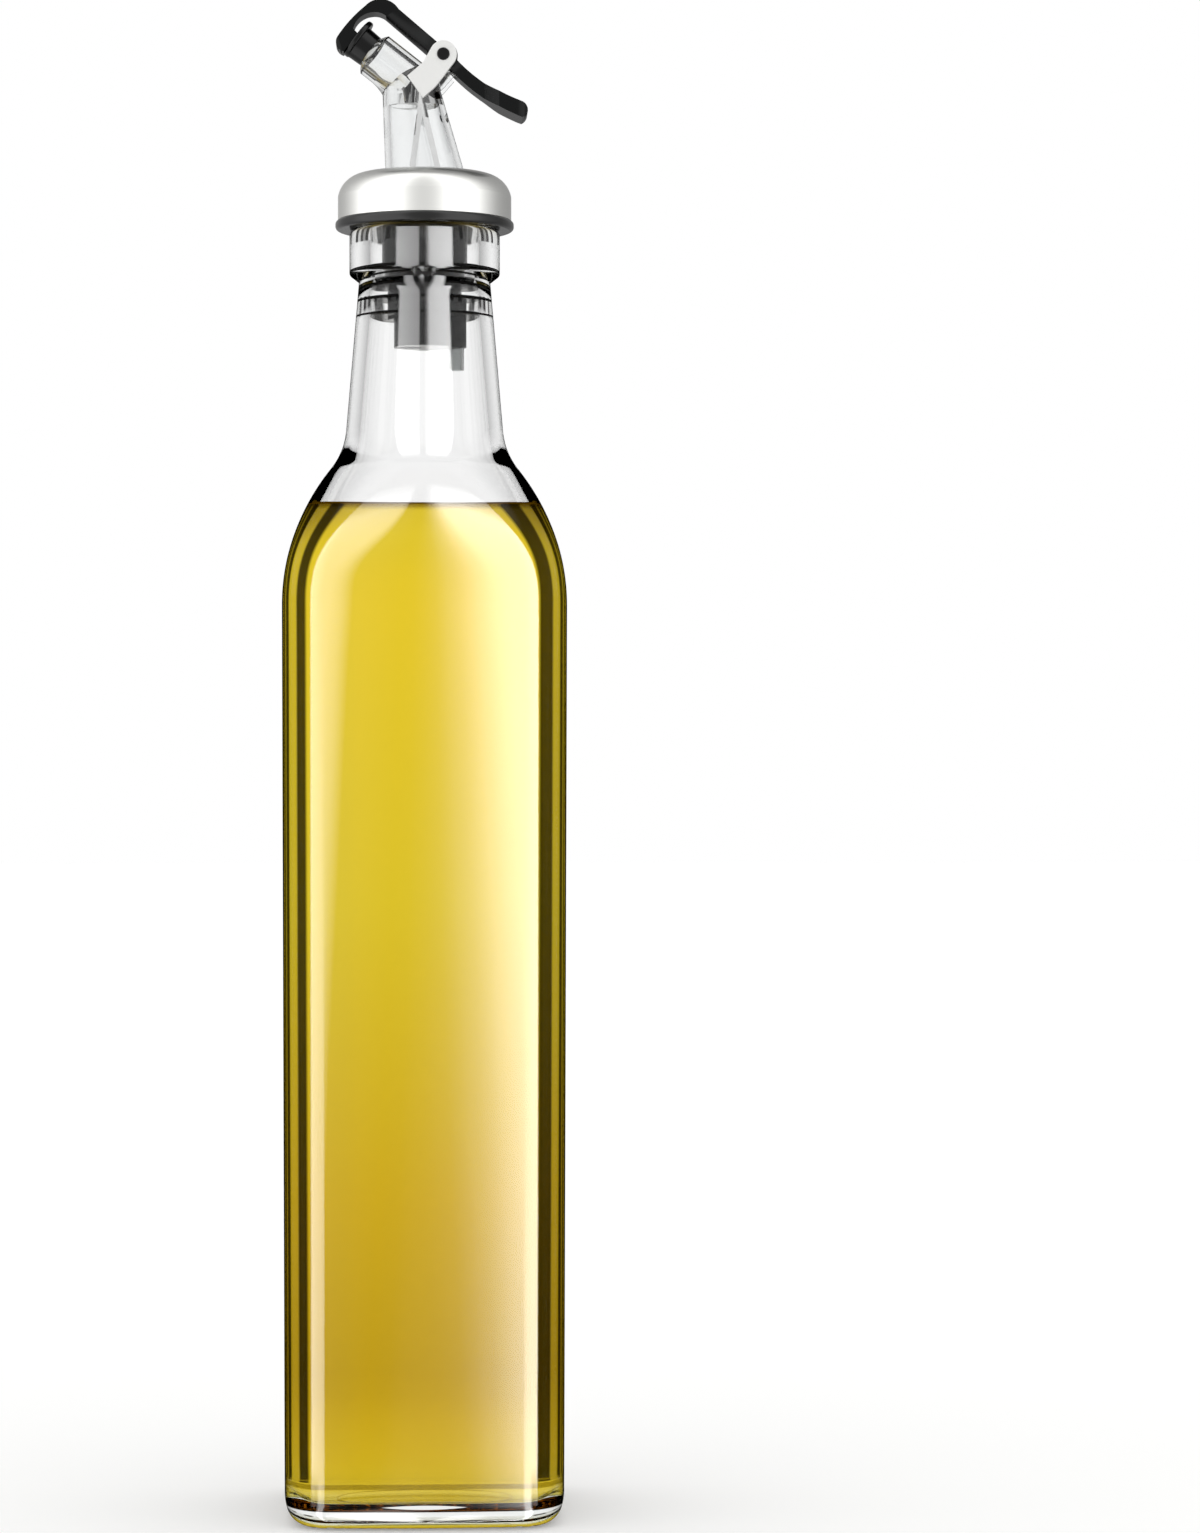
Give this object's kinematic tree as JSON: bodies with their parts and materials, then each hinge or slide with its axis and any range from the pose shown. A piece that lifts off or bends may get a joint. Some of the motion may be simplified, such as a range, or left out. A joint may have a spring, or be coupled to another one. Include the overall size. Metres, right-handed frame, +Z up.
{
  "type": "oil and vinegar bottle",
  "caption": "Square clear glass bottle of golden oil with a flared round neck, closed by a lever pourer: finned stopper, metal cap, bent clear spout, black lever and nozzle plug.",
  "frame": {"origin": "middle of the base, on the surface that the bottle stands on", "axes": "+Z up along the bottle, nozzle towards -X, thumb end of the lever towards +X"},
  "size_m": [0.0592, 0.0592, 0.3143],
  "materials": {
    "bottle_glass": "clear flint glass, blown, fire-polished",
    "golden_oil": "clear golden-yellow cooking oil",
    "stopper_rubber": "moulded, satin",
    "tube_plastic": "clear extruded tube",
    "cap_steel": "spun and brushed round its axis",
    "spout_plastic": "clear injection moulding",
    "ear_plastic": "white injection moulding",
    "pin_plastic": "moulded, glossy",
    "lever_plastic": "moulded, semi-gloss",
    "plug_silicone": "moulded, soft and glossy"
  },
  "bodies": {
    "bottle": {"glass_bottle": "bottle_glass", "oil": "golden_oil", "stopper": "stopper_rubber", "vent_tube": "tube_plastic", "metal_cap": "cap_steel", "spout": "spout_plastic", "pivot_ear_front": "ear_plastic", "pivot_ear_back": "ear_plastic", "pivot_pin": "pin_plastic"},
    "lever_arm": {"lever": "lever_plastic", "nozzle_plug": "plug_silicone"}
  },
  "joints": [
    {"name": "lever_pivot", "type": "hinge", "parent": "bottle", "child": "lever_arm", "pos_m": [0.00386, 0, 0.3025], "axis": [0, 1, 0], "range_deg": [0, 34]}
  ]
}
